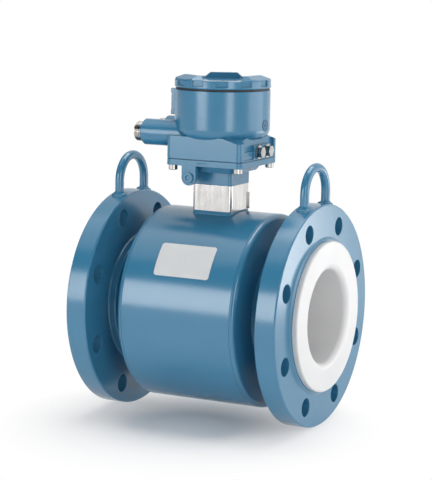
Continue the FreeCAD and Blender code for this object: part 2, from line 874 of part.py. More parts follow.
def build_neck_plate():
    """Bent metal rating plate, blank, sprung round three sides of the neck from the front."""
    body = new_body("neck_plate")
    inner = neck_half + fit_gap
    outer = collar_half
    corner = size("neck_corner")
    end = neck_half - corner
    plan = draw(blank_sketch(body, "XY_Plane", (0, 0, neck_foot)), [
        (-outer, -outer, collar_corner), (outer, -outer, collar_corner), (outer, end),
        (inner, end), (inner, -inner, corner), (-inner, -inner, corner), (-inner, end),
        (-outer, end)])
    padded(body, plan, collar_bottom - neck_foot - fit_gap)
    # tab folded out at the end on the outlet side
    thickness = size("neck_plate_thickness")
    tab = draw(blank_sketch(body, "XY_Plane", (0, 0, neck_foot)),
               box(outer - thickness, end - thickness, outer + size("neck_tab_reach"), end))
    padded(body, tab, size("neck_tab_height"))


def build_box_gasket():
    """Flat gasket between the pedestal plate and the junction box."""
    body = new_body("box_gasket")
    inset = size("gasket_inset")
    plan = draw(blank_sketch(body, "XY_Plane", (0, 0, pedestal_top)),
                square(box_half - inset, size("box_corner") - inset))
    circle(plan, (0, 0), cavity_radius)
    padded(body, plan, size("gasket_thickness"))
    bolt_holes(body, size("box_bolt_radius") + seat_gap, gasket_top)


def build_junction_box():
    """Cast junction box: square block, round bowl above it, two conduit hubs."""
    body = new_body("junction_box")
    block = draw(blank_sketch(body, "XY_Plane", (0, 0, gasket_top)),
                 square(box_half, size("box_corner")))
    padded(body, block, block_top - gasket_top)
    # the top corners on the outlet side slope down to their bolt bosses
    run = (box_half * 2 - size("corner_run")) * DIAGONAL
    tip = box_half / DIAGONAL
    past = tip + overrun
    slope = size("corner_drop") / (tip - run)
    for quarter in (45, -45):
        slice_plan = blank_sketch(body, "XZ_Plane", spin=Rotation(Vector(0, 1, 0), quarter))
        draw(slice_plan, [(run, block_top), (past, block_top - slope * (past - run)),
                          (past, block_top + overrun), (run, block_top + overrun)])
        pocketed(body, slice_plan, both=True)
    outlet_face(body)
    # bowl with a rounded underside
    dish = size("bowl_rounding")
    low = block_top - size("bowl_sink")
    turned(body, [(0, low), (bowl_radius - dish, low, dish, 1), (bowl_radius, low + dish),
                  (bowl_radius, bowl_top), (0, bowl_top)])
    # conduit hubs on the inlet side
    hub = size("hub_radius")
    chamfer = size("hub_chamfer")
    root_end = size("hub_root")
    for side in (-1, 1):
        turned(body, [(-hub_end, 0), (-root_end, 0), (-root_end, hub), (chamfer - hub_end, hub),
                      (-hub_end, hub - chamfer)], "H_Axis",
               origin=(0, hub_height, -side * size("hub_spacing") * 0.5))
    # flat for the small side plate
    margin = size("side_pad_margin")
    half = size("side_plate_half_width") + margin
    high = bowl_top - size("side_plate_drop") + margin
    low = high - size("side_plate_height") - margin * 2
    pad = draw(blank_sketch(body, "YZ_Plane", (0, 0, -side_pad_face)), box(-half, low, half, high))
    padded(body, pad, size("side_pad_depth"))
    # inside of the box
    step = block_top + size("cavity_rise")
    wide = thread_radius - size("cavity_relief")
    turned(body, [(0, gasket_top - overrun), (cavity_radius, gasket_top - overrun),
                  (cavity_radius, step - size("cavity_slope")), (wide, step), (wide, thread_low),
                  (thread_radius, thread_low), (thread_radius, bowl_top + overrun),
                  (0, bowl_top + overrun)], cut=True)
    entry = size("plug_radius") + fit_gap
    entry_end = size("entry_end")
    for side in (-1, 1):
        turned(body, [(-hub_end - overrun, 0), (-entry_end, 0), (-entry_end, entry),
                      (-hub_end - overrun, entry)], "H_Axis", cut=True,
               origin=(0, hub_height, -side * size("hub_spacing") * 0.5))
    bolt_holes(body, size("box_bolt_radius") + fit_gap, gasket_top, size("box_bolt_length"), True)
    tapped = blank_sketch(body, "YZ_Plane", (0, 0, box_half))
    for side in (-1, 1):
        circle(tapped, (size("ground_centre") + side * size("ground_spacing") * 0.5,
                        ground_height), size("ground_screw_radius") + fit_gap)
    pocketed(body, tapped, size("ground_screw_length") + seat_gap)


def outlet_face(body):
    """Stepped recess between the bolt bosses, and the pad for the ground screws."""
    half = size("recess_half_width")
    ledge = gasket_top + size("recess_ledge_top")
    levels = ((gasket_top + size("recess_foot"), ledge, size("recess_ledge_depth")),
              (ledge, block_top + overrun, size("recess_depth")))
    for low, high, depth in levels:
        cut = draw(blank_sketch(body, "YZ_Plane", (0, 0, box_half)), box(-half, low, half, high))
        pocketed(body, cut, depth)
    centre = size("ground_centre")
    half = size("ground_pad_half_width")
    rise = size("ground_pad_half_height")
    pad = draw(blank_sketch(body, "YZ_Plane", (0, 0, box_half - size("recess_depth") - overrun)),
               box(centre - half, ground_height - rise, centre + half, ground_height + rise))
    padded(body, pad, size("recess_depth") + overrun)


def build_box_bolts():
    """Four socket head bolts from below, through the pedestal plate into the box."""
    body = new_body("box_bolts")
    head = size("box_bolt_head_radius")
    shank = size("box_bolt_radius")
    socket = size("box_bolt_socket")
    chamfer = size("box_bolt_chamfer")
    top = gasket_top + size("box_bolt_length") - overrun
    under = plate_bottom - seat_gap
    low = under - size("box_bolt_head_height")
    bolt = turned(body, [(0, low + socket), (socket, low + socket), (socket, low),
                         (head - chamfer, low), (head, low + chamfer), (head, under),
                         (shank, under), (shank, top), (0, top)],
                  origin=(bolt_spot, 0, -bolt_spot))
    ring_pattern(body, [bolt], "Z_Axis", size("box_bolt_count"))


def build_ground_screws():
    """Two ground screws and the washers under their heads, on the outlet side."""
    washer = size("ground_washer_thickness")
    shank = size("ground_screw_radius")
    first = size("ground_centre") - size("ground_spacing") * 0.5
    spacing = size("ground_spacing")
    washer_face = box_half + fit_gap
    head_face = washer_face + washer + fit_gap

    body = new_body("ground_washers")
    plan = blank_sketch(body, "YZ_Plane", (0, 0, washer_face))
    circle(plan, (first, ground_height), size("ground_washer_radius"))
    circle(plan, (first, ground_height), shank + seat_gap)
    row_pattern(body, [padded(body, plan, washer)], "Y_Axis", spacing, 2)

    body = new_body("ground_screws")
    hexes = draw(blank_sketch(body, "YZ_Plane", (first, ground_height, head_face)),
                 hexagon(size("ground_head_radius")))
    head = padded(body, hexes, size("ground_head_height"))
    inside = box_half - size("ground_screw_length")
    shaft = circle(blank_sketch(body, "YZ_Plane", (0, 0, inside)), (first, ground_height), shank)
    stem = padded(body, shaft, head_face - inside + overrun)
    row_pattern(body, [head, stem], "Y_Axis", spacing, 2)


def build_plug(side_name, side):
    """Threaded blanking plug and the sealing tape wound on its inner turns, along -X."""
    offset = size("hub_spacing") * 0.5 * side
    outer_end = hub_end + size("plug_reach")
    inner_end = outer_end - size("plug_length")
    plug = size("plug_radius")
    chamfer = size("plug_chamfer")
    core = plug - size("tape_depth")
    tape_end = inner_end + size("tape_length")
    place = {"origin": (0, hub_height, -offset)}

    body = new_body("conduit_plug_" + side_name)
    turned(body, [(-outer_end, 0), (-outer_end, plug - chamfer), (chamfer - outer_end, plug),
                  (-tape_end, plug), (-tape_end, core), (-inner_end, core),
                  (-inner_end, 0)], "H_Axis", **place)
    recess = draw(blank_sketch(body, "YZ_Plane", (offset, hub_height, -outer_end)),
                  hexagon(size("plug_socket_radius")))
    pocketed(body, recess, size("plug_socket_depth"), back=True)

    body = new_body("plug_tape_" + side_name)
    turned(body, box(fit_gap - tape_end, core + fit_gap, -inner_end, plug - fit_gap),
           "H_Axis", **place)


def build_cover():
    """Screwed cover: notched rim, dished top, three wrench lugs and a threaded skirt."""
    body = new_body("cover", Rotation(Vector(0, 0, 1), number_of(size("cover_turn"))))
    bind(body, "Placement.Rotation.Angle", size("cover_turn"))
    radius = bowl_radius + size("cover_overhang")
    low = bowl_top + size("seal_height")
    high = low + size("cover_rim_height")
    edge = size("cover_edge")
    skirt = thread_radius - fit_gap
    skirt_low = thread_low + overrun
    hollow = skirt - size("skirt_wall")
    roof = high - size("cover_roof")
    band = radius - size("cover_band")
    floor = high - size("cover_dish")
    turned(body, [(0, roof), (hollow, roof), (hollow, skirt_low), (skirt, skirt_low),
                  (skirt, low), (radius - edge, low), (radius, low + edge),
                  (radius, high - edge), (radius - edge, high), (band, high), (band, floor),
                  (0, floor)])
    # wrench lugs that rise from the dish and lean back over the band to the rim
    half = size("cover_lug_half_width")
    slope = size("cover_lug_slope")
    top = high + size("cover_lug_height")
    front = band - size("cover_lug_inset")
    crest = front + size("cover_lug_crest")
    heel = radius - edge
    outline = draw(blank_sketch(body, "XZ_Plane", (0, 0, -front)),
                   [(-half, floor - overrun), (half, floor - overrun), (half, high),
                    (half - slope, top), (slope - half, top), (-half, high)])
    lug = padded(body, outline, heel - front, back=True)
    back = draw(blank_sketch(body, "YZ_Plane"),
                [(crest, top), (heel, high), (heel + overrun, high),
                 (heel + overrun, top + overrun), (crest, top + overrun)])
    lean = pocketed(body, back, both=True)
    ring_pattern(body, [lug, lean], "Z_Axis", size("cover_lug_count"))
    # the rim turned once more, so that no lug overhangs it
    turned(body, [(radius, low), (radius + half, low), (radius + half, top), (heel, top),
                  (heel, high), (radius, high - edge)], cut=True)
    # grip notches round the rim, above its lower ring
    wide = size("notch_half_width")
    bed = radius - size("notch_depth")
    notch = draw(blank_sketch(body, "XY_Plane", (0, 0, low + size("cover_ring"))),
                 box(-wide, bed, wide, radius + overrun))
    cut = pocketed(body, notch, size("cover_rim_height"), back=True)
    ring_pattern(body, [cut], "Z_Axis", size("notch_count"))


def build_cover_seal():
    """Square-section sealing ring squeezed between the bowl and the cover."""
    body = new_body("cover_seal")
    outer = bowl_radius - size("seal_inset")
    inner = outer - size("seal_width")
    turned(body, box(inner, bowl_top + fit_gap, outer,
                     bowl_top + size("seal_height") - fit_gap))


def build_terminals():
    """Terminal block on the pedestal plate, with a row of clamp screws."""
    length = cavity_radius - size("terminal_clearance")
    width = size("terminal_half_width")
    stand = pedestal_top + size("block_stand")
    height = size("terminal_height")
    top = stand + height
    count = size("terminal_count")
    offset = size("terminal_offset")
    row = size("terminal_pitch") * (count - 1)
    spot = (row * -0.5, offset + width * 0.5)
    screw = size("terminal_screw_radius")
    shank = screw * 0.5

    body = new_body("terminal_block")
    plan = draw(blank_sketch(body, "XY_Plane", (0, offset, pedestal_top + seat_gap)),
                box(-length, -width, length, width))
    padded(body, plan, top - pedestal_top - seat_gap)
    slot = draw(blank_sketch(body, "YZ_Plane"),
                box(offset - width, stand + height * 0.5, offset, top + overrun))
    pocketed(body, slot, both=True)
    hole = circle(blank_sketch(body, "XY_Plane", (0, 0, top)), spot, shank + fit_gap)
    row_pattern(body, [pocketed(body, hole, height * 0.5)], "X_Axis", row, count)

    body = new_body("terminal_screws")
    head = circle(blank_sketch(body, "XY_Plane", (0, 0, top + fit_gap)), spot, screw)
    cap = padded(body, head, size("terminal_screw_height"))
    depth = size("terminal_screw_depth")
    shaft = circle(blank_sketch(body, "XY_Plane", (0, 0, top - depth)), spot, shank)
    stem = padded(body, shaft, depth + overrun)
    row_pattern(body, [cap, stem], "X_Axis", row, count)


def build_side_plate():
    """Small blank plate on the inlet side of the bowl."""
    body = new_body("side_plate")
    half = size("side_plate_half_width")
    high = bowl_top - size("side_plate_drop")
    low = high - size("side_plate_height")
    corner = size("side_plate_corner")
    plan = draw(blank_sketch(body, "YZ_Plane", (0, 0, -side_pad_face - fit_gap)), [
        (-half, low, corner), (half, low, corner), (half, high, corner), (-half, high, corner)])
    padded(body, plan, size("side_plate_thickness"), back=True)


def build_barrel_label():
    """Blank curved plate on the front of the barrel, above its middle."""
    body = new_body("barrel_label", Rotation(Vector(1, 0, 0), number_of(size("label_angle"))))
    bind(body, "Placement.Rotation.Angle", size("label_angle"))
    high = size("label_half_height")
    left = size("label_centre") - size("label_half_length")
    right = size("label_centre") + size("label_half_length")
    corner = size("label_corner")
    sink = size("label_sink")
    inner = barrel_radius + fit_gap
    outer = inner + size("label_thickness")
    plan = draw(blank_sketch(body, "XY_Plane", (0, 0, inner - sink)), [
        (left, -high, corner), (right, -high, corner), (right, high, corner),
        (left, high, corner)])
    padded(body, plan, sink * 2)
    under = circle(blank_sketch(body, "YZ_Plane"), (0, 0), inner)
    pocketed(body, under, both=True)
    over = blank_sketch(body, "YZ_Plane")
    circle(over, (0, 0), outer)
    circle(over, (0, 0), outer + sink * 2)
    pocketed(body, over, both=True)


def pipe_along(name, edges, start, direction, radius):
    """Round wire along joined edges, as a plain shape."""
    wire = Part.Wire(edges)
    section = Part.Wire([Part.makeCircle(radius, start, direction)])
    made = doc.addObject("Part::Feature", name)
    made.Label = name
    made.Shape = wire.makePipeShell([section], True, False)
    return made


def build_electrode_lead(name, side):
    """Insulated lead: out of the electrode, round inside the barrel and up the neck."""
    radius = number_of(size("lead_radius"))
    run = number_of(shell_inner - size("lead_clearance"))
    bend = number_of(size("lead_bend"))
    across = number_of(size("lead_spacing"))
    start = number_of(tube_radius + size("electrode_stand") + seat_gap)
    top = number_of(pedestal_top - size("block_stand"))
    turn_y = math.sqrt((run - bend) ** 2 - bend ** 2)
    outer = Vector(0, turn_y, bend).normalize()
    rise_z = math.sqrt((run + bend) ** 2 - (across + bend) ** 2)
    upper = Vector(0, across + bend, rise_z).normalize()
    middle = (outer + upper).normalize()
    centre_low = Vector(0, turn_y, bend)
    centre_high = Vector(0, across + bend, rise_z)
    low_mid = centre_low + (Vector(0, 0, -1) + outer).normalize() * bend
    high_mid = centre_high + (Vector(0, -1, 0) - upper).normalize() * bend
    points = [Vector(0, start, 0), Vector(0, turn_y, 0), low_mid, outer * run, middle * run,
              upper * run, high_mid, Vector(0, across, rise_z), Vector(0, across, top)]
    points = [Vector(p.x, p.y * side, p.z) for p in points]
    edges = [Part.LineSegment(points[0], points[1]).toShape(),
             Part.Arc(points[1], points[2], points[3]).toShape(),
             Part.Arc(points[3], points[4], points[5]).toShape(),
             Part.Arc(points[5], points[6], points[7]).toShape(),
             Part.LineSegment(points[7], points[8]).toShape()]
    pipe_along(name, edges, points[0], Vector(0, side, 0), radius)


build_flow_tube()
build_liner()
for end, turn in (("inlet", END_FOR_END), ("outlet", None)):
    build_flange(end + "_flange", turn)
    build_lifting_eye(end + "_lifting_eye", turn)
    build_end_plate(end + "_end_plate", turn)
build_coil_housing()
for level, turn in (("upper", None), ("lower", UPSIDE_DOWN)):
    build_pole_piece(level + "_pole_piece", turn)
    build_coil(level + "_coil", turn)
build_yoke()
for side, turn in (("front", TO_FRONT), ("rear", TO_REAR)):
    build_electrode(side, turn)
for name, side in (("front_electrode_lead", -1), ("rear_electrode_lead", 1)):
    build_electrode_lead(name, side)
build_pedestal()
build_lug_screw()
build_neck_plate()
build_box_gasket()
build_junction_box()
build_box_bolts()
build_ground_screws()
for name, side in (("front", -1), ("rear", 1)):
    build_plug(name, side)
build_cover()
build_cover_seal()
build_terminals()
build_side_plate()
build_barrel_label()
doc.recompute()


def finished_pieces():
    """Every body and plain shape, once the document has no failed object."""
    for item in doc.Objects:
        if {"Invalid", "Error"} & set(item.State):
            raise RuntimeError("%s failed: %s" % (item.Name, item.State))
    return [o for o in doc.Objects if o.TypeId in ("PartDesign::Body", "Part::Feature")]


os.makedirs("parts", exist_ok=True)
for piece in finished_pieces():
    shape = piece.Shape
    if shape.isNull() or not shape.isValid():
        raise RuntimeError(piece.Label + " has no valid shape")
    print("%-24s solids %d  volume %.0f" % (piece.Label, len(shape.Solids), shape.Volume))
    shape.exportStep(os.path.join("parts", piece.Label + ".step"))
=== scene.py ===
# %% [markdown]
# An electromagnetic flow meter: a lined steel pipe between two flanges, a drum that hides
# the magnet coils, and a cast junction box on a square neck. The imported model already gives
# every size and place, so this lesson adds the finishes, and the few fine forms that a lathe
# or a welder leaves behind.

# %% Load the measured frame
import json
import math
import bmesh
import bpy
from mathutils import Matrix, Vector


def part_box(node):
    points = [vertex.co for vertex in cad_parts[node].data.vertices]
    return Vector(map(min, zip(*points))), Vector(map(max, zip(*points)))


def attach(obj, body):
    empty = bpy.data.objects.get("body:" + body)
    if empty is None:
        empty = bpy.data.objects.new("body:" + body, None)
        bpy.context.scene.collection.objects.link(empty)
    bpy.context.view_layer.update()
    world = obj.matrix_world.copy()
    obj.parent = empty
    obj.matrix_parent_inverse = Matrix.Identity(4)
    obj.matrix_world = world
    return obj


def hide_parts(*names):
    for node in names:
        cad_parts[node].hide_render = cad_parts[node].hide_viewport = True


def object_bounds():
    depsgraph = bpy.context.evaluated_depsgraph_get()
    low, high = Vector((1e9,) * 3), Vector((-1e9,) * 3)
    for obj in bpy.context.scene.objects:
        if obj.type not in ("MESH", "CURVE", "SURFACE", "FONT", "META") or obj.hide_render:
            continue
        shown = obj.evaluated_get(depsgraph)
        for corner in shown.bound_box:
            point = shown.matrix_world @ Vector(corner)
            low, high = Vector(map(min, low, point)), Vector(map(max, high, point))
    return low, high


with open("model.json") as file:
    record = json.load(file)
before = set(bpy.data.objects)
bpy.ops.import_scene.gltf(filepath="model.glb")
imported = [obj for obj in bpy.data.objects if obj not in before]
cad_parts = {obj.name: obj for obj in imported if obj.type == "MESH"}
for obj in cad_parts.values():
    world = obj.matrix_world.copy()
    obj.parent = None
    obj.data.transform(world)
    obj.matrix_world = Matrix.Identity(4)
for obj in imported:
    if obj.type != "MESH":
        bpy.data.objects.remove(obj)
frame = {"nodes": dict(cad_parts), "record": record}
CAD_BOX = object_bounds()
nodes = frame["nodes"]
MM = 0.001
print("nodes", len(nodes), "top of the part", round(CAD_BOX[1].z, 4))

# %% [markdown]
# A product view is taken from well away with a long lens, so both round flanges keep nearly
# the same size. A tracking constraint could aim the camera, but three plain turns, about the
# upright axis, then up, then a small roll, are easier to read and to change one at a time.

# %% Camera
AZIMUTH = math.radians(26.98)
ELEVATION = math.radians(8.72)
ROLL = math.radians(0.91)
DISTANCE = 1.924
SLIDE_ACROSS = 0.00352
SLIDE_UP = -0.06775
FOCAL_LENGTH = 137.7

camera_data = bpy.data.cameras.new("camera")
camera_data.lens = FOCAL_LENGTH
camera = bpy.data.objects.new("camera", camera_data)
bpy.context.scene.collection.objects.link(camera)
facing = Matrix.Rotation(AZIMUTH, 4, "Z") @ Matrix.Rotation(math.pi / 2 - ELEVATION, 4, "X")
facing = facing @ Matrix.Rotation(ROLL, 4, "Z")
camera.matrix_world = facing @ Matrix.Translation((-SLIDE_ACROSS, -SLIDE_UP, DISTANCE))
bpy.context.scene.camera = camera
bpy.context.scene.view_settings.view_transform = "Standard"
print("camera at", [round(v, 3) for v in camera.matrix_world.translation])

# %% [markdown]
# Every finish below is a small node tree. Three helpers keep those trees short: one opens a
# fresh material, one makes a cloudy value that is fixed to the object in metres, and one
# stretches such a value between two ends. Image textures could do this too, but a cloud
# computed from the object's own coordinates has no seams and stays put when a joint moves.

# %% Helpers for materials
BEVEL_SAMPLES = 6
MOTTLE_SHARE = 0.08
WEAR_SHARE = 0.3


def open_material(name):
    """A fresh material with its node tree and its main shader."""
    material = bpy.data.materials.new(name)
    material.use_nodes = True
    return material, material.node_tree, material.node_tree.nodes["Principled BSDF"]


def cloud(tree, scale, detail=2.0, stretch=(1, 1, 1)):
    """Cloudy values fixed to the object, with about this many bumps in a metre."""
    spot = tree.nodes.new("ShaderNodeTexCoord")
    sized = tree.nodes.new("ShaderNodeMapping")
    sized.inputs["Scale"].default_value = stretch
    noise = tree.nodes.new("ShaderNodeTexNoise")
    noise.inputs["Scale"].default_value = scale
    noise.inputs["Detail"].default_value = detail
    tree.links.new(spot.outputs["Object"], sized.inputs["Vector"])
    tree.links.new(sized.outputs["Vector"], noise.inputs["Vector"])
    return noise.outputs["Fac"]


def between(tree, value, low, high, start=0.3, end=0.7):
    """Stretch a value so that its middle range runs from low to high."""
    step = tree.nodes.new("ShaderNodeMapRange")
    for label, number in (("From Min", start), ("From Max", end),
                          ("To Min", low), ("To Max", high)):
        step.inputs[label].default_value = number
    tree.links.new(value, step.inputs["Value"])
    return step.outputs["Result"]


def blend_colors(tree, value, first, second):
    """Mix two colours by a value from 0 to 1."""
    mix = tree.nodes.new("ShaderNodeMix")
    mix.data_type = "RGBA"
    tree.links.new(value, mix.inputs["Factor"])
    mix.inputs[6].default_value = (*first, 1)
    mix.inputs[7].default_value = (*second, 1)
    return mix.outputs[2]


def relief(tree, shader, height, depth, edge=0.0):
    """Raise the surface by a value, over edges that are softened by a small radius."""
    bump = tree.nodes.new("ShaderNodeBump")
    bump.inputs["Distance"].default_value = depth
    tree.links.new(height, bump.inputs["Height"])
    if edge:
        soft = tree.nodes.new("ShaderNodeBevel")
        soft.samples = BEVEL_SAMPLES
        soft.inputs["Radius"].default_value = edge
        tree.links.new(soft.outputs["Normal"], bump.inputs["Normal"])
    tree.links.new(bump.outputs["Normal"], shader.inputs["Normal"])


def finish(name, tones, rough, grain, depth, edge=0.0, stretch=(1, 1, 1)):
    """A surface with two mottled tones, a roughness range and a relief in millimetres."""
    material, tree, shader = open_material(name)
    tone = between(tree, cloud(tree, grain * MOTTLE_SHARE), 0.0, 1.0)
    tree.links.new(blend_colors(tree, tone, *tones), shader.inputs["Base Color"])
    wear = between(tree, cloud(tree, grain * WEAR_SHARE, 4.0, stretch), *rough)
    tree.links.new(wear, shader.inputs["Roughness"])
    relief(tree, shader, cloud(tree, grain, 3.0, stretch), depth * MM, edge * MM)
    return material, shader


print("helpers ready")

# %% [markdown]
# The studio is a white sweep with soft boxes. A low wide box at the front left draws the
# broad pale band along the drum and the left streak down the bowl. A narrow box at the front
# right draws the second streak. A wide one on the right lights the liner, and a small low
# strip behind it shines along the outlet flange's face without reaching the neck plate. A
# large box overhead gives the top light and the shadow, and a weak one at the upper left
# fills the left side. Point lamps would be simpler, but a gloss shows the lamp's own shape.

# %% Lamps
BOXES = {
    "left_box": dict(place=(-0.62, -1.47, 0.38), width=0.74, height=0.72, power=8.5),
    "right_box": dict(place=(1.12, -1.14, 0.45), width=0.46, height=1.10, power=6.5),
    "side_box": dict(place=(1.86, 0.87, 0.42), width=1.90, height=1.00, power=11.0),
    "low_strip": dict(place=(0.508, 0.479, -0.03), width=0.35, height=0.16, power=0.62),
    "top_box": dict(place=(0.00, 0.45, 1.90), width=1.40, height=1.20, power=19.0),
    "upper_box": dict(place=(-0.95, -0.35, 1.75), width=1.30, height=1.20, power=4.5),
}


def soft_box(name, place, width, height, power):
    """A rectangular lamp that faces the middle of the part."""
    data = bpy.data.lights.new(name, "AREA")
    data.shape = "RECTANGLE"
    data.size = width
    data.size_y = height
    data.energy = power
    lamp = bpy.data.objects.new(name, data)
    bpy.context.scene.collection.objects.link(lamp)
    lamp.location = place
    middle = (CAD_BOX[0] + CAD_BOX[1]) / 2
    lamp.rotation_euler = (middle - lamp.location).to_track_quat("-Z", "Y").to_euler()


for name, values in BOXES.items():
    soft_box(name, **values)
print("lamps", list(BOXES))

# %% [markdown]
# The world is white behind the object, for the camera and in reflections, and nearly dark in
# front, as a studio is behind the lamps. Without that, every gloss turns milky. As plain fill
# it is weaker on the left than on the right, so the round forms keep a shaded side. A picture
# of a studio could be used instead, but two blends by direction are enough.

# %% World
ROOM_LEFT = 0.10
ROOM_RIGHT = 0.50
ROOM_FRONT = 0.05
BACKDROP = 1.0
REAR_FADE = (-0.35, 0.25)
SIDE_FADE = (-0.75, -0.45)

world = bpy.data.worlds.new("studio_world")
bpy.context.scene.world = world
world.use_nodes = True
sky = world.node_tree
sky.nodes.clear()


def joined(tree, operation, first, second):
    """Two values through one sum."""
    step = tree.nodes.new("ShaderNodeMath")
    step.operation = operation
    tree.links.new(first, step.inputs[0])
    tree.links.new(second, step.inputs[1])
    return step.outputs[0]


def direction_part(tree, axis):
    """How far a look into the room points along one axis, from -1 to 1."""
    direction = tree.nodes.new("ShaderNodeTexCoord")
    parts = tree.nodes.new("ShaderNodeSeparateXYZ")
    tree.links.new(direction.outputs["Generated"], parts.inputs[0])
    return parts.outputs[axis]


def backdrop_share(tree):
    """One towards the back and right of the studio, nothing to the front and left."""
    rearward = between(tree, direction_part(tree, "Y"), 0.0, 1.0, *REAR_FADE)
    rightward = between(tree, direction_part(tree, "X"), 0.0, 1.0, *SIDE_FADE)
    return joined(tree, "MULTIPLY", rearward, rightward)


rays = sky.nodes.new("ShaderNodeLightPath")
mirrored = joined(sky, "MAXIMUM", rays.outputs["Is Glossy Ray"],
                  rays.outputs["Is Transmission Ray"])
behind = joined(sky, "MULTIPLY", mirrored, backdrop_share(sky))
shown = joined(sky, "MAXIMUM", rays.outputs["Is Camera Ray"], behind)
shades = []
for strength in (ROOM_RIGHT, ROOM_FRONT, BACKDROP):
    shade = sky.nodes.new("ShaderNodeBackground")
    shade.inputs["Color"].default_value = (1, 1, 1, 1)
    shade.inputs["Strength"].default_value = strength
    shades.append(shade)
sky.links.new(between(sky, direction_part(sky, "X"), ROOM_LEFT, ROOM_RIGHT, -1.0, 1.0),
              shades[0].inputs["Strength"])


def mixed(tree, share, first, second):
    """One shader fading into another by a value from 0 to 1."""
    step = tree.nodes.new("ShaderNodeMixShader")
    tree.links.new(share, step.inputs[0])
    tree.links.new(first, step.inputs[1])
    tree.links.new(second, step.inputs[2])
    return step.outputs[0]


dim_room = mixed(sky, mirrored, shades[0].outputs[0], shades[1].outputs[0])
room = mixed(sky, shown, dim_room, shades[2].outputs[0])
sky.links.new(room, sky.nodes.new("ShaderNodeOutputWorld").inputs["Surface"])
print("world nodes", len(sky.nodes))

# %% [markdown]
# The floor is one wide sheet. Near the part it is an ordinary pale surface, which takes the
# soft shadow. Further out it fades to pure white, so the sweep has no horizon. The fade is
# read from the floor's own coordinates, round a spot a little in front of the part where the
# shadow falls, and only the camera and mirror-like rays see it. A curved backdrop would hide
# the horizon too, but it would also bounce light on the object.

# %% Floor
FLOOR_SIZE = 12.0
FADE_START = 0.05
FADE_END = 0.20
FADE_SHIFT = (0.0, 0.07, 0.0)
FLOOR_TONE = 0.96
FLOOR_ROUGHNESS = 0.8
FLOOR_GLOSS = 0.15

grid = bmesh.new()
bmesh.ops.create_grid(grid, x_segments=1, y_segments=1, size=FLOOR_SIZE / 2)
floor_mesh = bpy.data.meshes.new("studio_floor")
grid.to_mesh(floor_mesh)
grid.free()
floor = bpy.data.objects.new("studio_floor", floor_mesh)
floor.location.z = CAD_BOX[0].z
bpy.context.scene.collection.objects.link(floor)

floor_material, tree, shader = open_material("studio_floor")
shader.inputs["Base Color"].default_value = (FLOOR_TONE, FLOOR_TONE, FLOOR_TONE, 1)
shader.inputs["Roughness"].default_value = FLOOR_ROUGHNESS
shader.inputs["Specular IOR Level"].default_value = FLOOR_GLOSS
spot = tree.nodes.new("ShaderNodeTexCoord")
centred = tree.nodes.new("ShaderNodeMapping")
centred.inputs["Location"].default_value = FADE_SHIFT
length = tree.nodes.new("ShaderNodeVectorMath")
length.operation = "LENGTH"
tree.links.new(spot.outputs["Object"], centred.inputs["Vector"])
tree.links.new(centred.outputs["Vector"], length.inputs[0])
fade = between(tree, length.outputs["Value"], 0.0, 1.0, FADE_START, FADE_END)
rays = tree.nodes.new("ShaderNodeLightPath")
seen = joined(tree, "MAXIMUM", rays.outputs["Is Camera Ray"],
              joined(tree, "MAXIMUM", rays.outputs["Is Glossy Ray"],
                     rays.outputs["Is Transmission Ray"]))
glow = tree.nodes.new("ShaderNodeEmission")
sheet = mixed(tree, joined(tree, "MULTIPLY", fade, seen), shader.outputs[0], glow.outputs[0])
tree.links.new(sheet, tree.nodes["Material Output"].inputs["Surface"])
floor_mesh.materials.append(floor_material)
print("floor at", round(floor.location.z, 4))

# %% [markdown]
# Nearly everything outside wears the same blue two-part enamel. Sprayed enamel is never dead
# flat: it dries with a faint ripple a millimetre or two across, called orange peel, and its
# gloss varies a little. On rolled and turned steel the film is smooth. On the aluminium
# castings the sand-blasted skin shows through it, so the relief is finer there and the gloss
# a little lower. The edges are softened in the shader, because paint pulls back into a small
# radius there. A clear coat over the colour was another way, but it made dark speckles.

# %% Enamel on steel and on castings
BLUE_LIGHT = (0.036, 0.186, 0.325)
BLUE_DARK = (0.033, 0.178, 0.312)
# the earth sign's two darker blues are painted shade, for the shade that gathers along its fine
# lines
SIGN_SHADE_LIGHT = (0.012, 0.062, 0.118)
SIGN_SHADE_DARK = (0.010, 0.052, 0.100)
STEEL_GRAIN = 260
CAST_GRAIN = 480
PEEL_DEPTH = 0.003
PAINT_EDGE = 0.8
STEEL_GLOSS = 0.85
CAST_GLOSS = 0.75

enamel, shader = finish("enamel", (BLUE_LIGHT, BLUE_DARK), (0.19, 0.22), STEEL_GRAIN,
                        PEEL_DEPTH, PAINT_EDGE)
shader.inputs["Specular IOR Level"].default_value = STEEL_GLOSS
cast_enamel, shader = finish("cast_enamel", (BLUE_LIGHT, BLUE_DARK), (0.21, 0.25), CAST_GRAIN,
                             PEEL_DEPTH, PAINT_EDGE)
shader.inputs["Specular IOR Level"].default_value = CAST_GLOSS
# the earth sign's finish: the same enamel in a darker blue, which is painted shade
sign_painted_shade = finish("sign_painted_shade", (SIGN_SHADE_LIGHT, SIGN_SHADE_DARK), (0.24, 0.30), CAST_GRAIN,
                     PEEL_DEPTH)[0]
print("enamels", enamel.name, cast_enamel.name, sign_painted_shade.name)

# %% [markdown]
# The liner is PTFE, a waxy white plastic. Light sinks a little way into it, so a touch of
# subsurface scattering keeps its edges from looking like painted metal. It was trimmed on a
# lathe, which leaves very faint rings, and a ring pattern needs only the distance from the
# pipe axis. A wave texture could draw it too, but distance is plain arithmetic here.

# %% Liner
RING_PITCH = 0.9 * MM
RING_RELIEF = 0.01
LINER_EDGE = 1.2 * MM
LINER_LIGHT = (0.72, 0.72, 0.72)
LINER_DARK = (0.69, 0.695, 0.70)
GLOW_SHARE = 0.12
GLOW_DEPTH = 0.004

